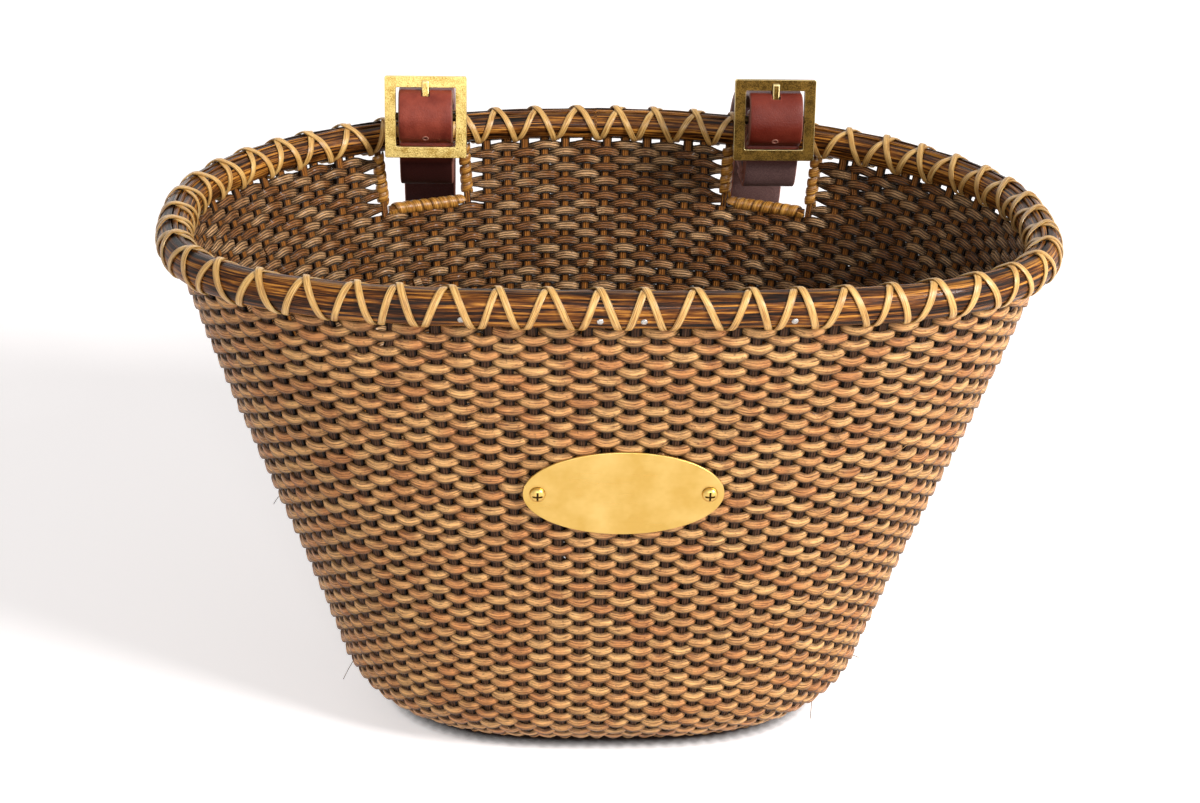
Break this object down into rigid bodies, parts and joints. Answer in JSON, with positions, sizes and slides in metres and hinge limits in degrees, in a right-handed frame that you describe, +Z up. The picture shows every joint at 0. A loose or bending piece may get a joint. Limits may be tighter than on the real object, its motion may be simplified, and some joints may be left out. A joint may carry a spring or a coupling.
{
  "type": "bicycle basket",
  "caption": "Woven oval wicker front basket for a bicycle, with a cane-lashed rim, windows for two buckled leather handlebar straps and a bare oval brass plate.",
  "frame": {"origin": "middle of the flat underside of the woven base", "axes": "+X to the right seen from the front, +Y back towards the handlebar, +Z up"},
  "size_m": [0.3874, 0.2959, 0.2595],
  "materials": {
    "woven_reed": "satin",
    "rim_cane": "varnished",
    "lashing_cane": "varnished",
    "strap_leather": "satin",
    "bright_brass": "brushed",
    "antique_brass": "antique",
    "polished_brass": "polished"
  },
  "bodies": {
    "basket": {"woven_base": "woven_reed", "foot_border": "woven_reed", "woven_wall": "woven_reed", "rim_outer_hoop": "rim_cane", "rim_inner_hoop": "rim_cane", "rim_filler": "rim_cane", "rim_lashing_right_hand": "lashing_cane", "rim_lashing_left_hand": "lashing_cane", "window_left_inner_post": "rim_cane", "window_left_outer_post": "rim_cane", "window_left_sill": "rim_cane", "window_right_inner_post": "rim_cane", "window_right_outer_post": "rim_cane", "window_right_sill": "rim_cane", "window_left_inner_post_wrap": "lashing_cane", "window_left_outer_post_wrap": "lashing_cane", "window_left_sill_wrap": "lashing_cane", "window_right_inner_post_wrap": "lashing_cane", "window_right_outer_post_wrap": "lashing_cane", "window_right_sill_wrap": "lashing_cane", "name_plate": "polished_brass", "plate_screw_left": "polished_brass", "plate_screw_right": "polished_brass", "plate_washer_left": "polished_brass", "plate_washer_right": "polished_brass", "plate_nut_left": "polished_brass", "plate_nut_right": "polished_brass"},
    "strap_left": {"strap_left": "strap_leather", "strap_rivet_left": "bright_brass"},
    "buckle_left": {"buckle_left": "bright_brass"},
    "prong_left": {"prong_left": "bright_brass"},
    "strap_right": {"strap_right": "strap_leather", "strap_rivet_right": "antique_brass"},
    "buckle_right": {"buckle_right": "antique_brass"},
    "prong_right": {"prong_right": "antique_brass"}
  },
  "joints": [
    {"name": "strap_left_swing", "type": "hinge", "parent": "basket", "child": "strap_left", "pos_m": [-0.08155, 0.11623, 0.2255], "axis": [1, 0, 0], "range_deg": [-10, 15]},
    {"name": "buckle_left_rock", "type": "hinge", "parent": "strap_left", "child": "buckle_left", "pos_m": [-0.08155, 0.09093, 0.2405], "axis": [1, 0, 0], "range_deg": [-3, 1]},
    {"name": "prong_left_lift", "type": "hinge", "parent": "buckle_left", "child": "prong_left", "pos_m": [-0.08155, 0.09093, 0.2405], "axis": [1, 0, 0], "range_deg": [0, 8]},
    {"name": "strap_right_swing", "type": "hinge", "parent": "basket", "child": "strap_right", "pos_m": [0.08155, 0.11623, 0.2255], "axis": [1, 0, 0], "range_deg": [-10, 15]},
    {"name": "buckle_right_rock", "type": "hinge", "parent": "strap_right", "child": "buckle_right", "pos_m": [0.08155, 0.09093, 0.2405], "axis": [1, 0, 0], "range_deg": [-3, 1]},
    {"name": "prong_right_lift", "type": "hinge", "parent": "buckle_right", "child": "prong_right", "pos_m": [0.08155, 0.09093, 0.2405], "axis": [1, 0, 0], "range_deg": [0, 8]}
  ]
}
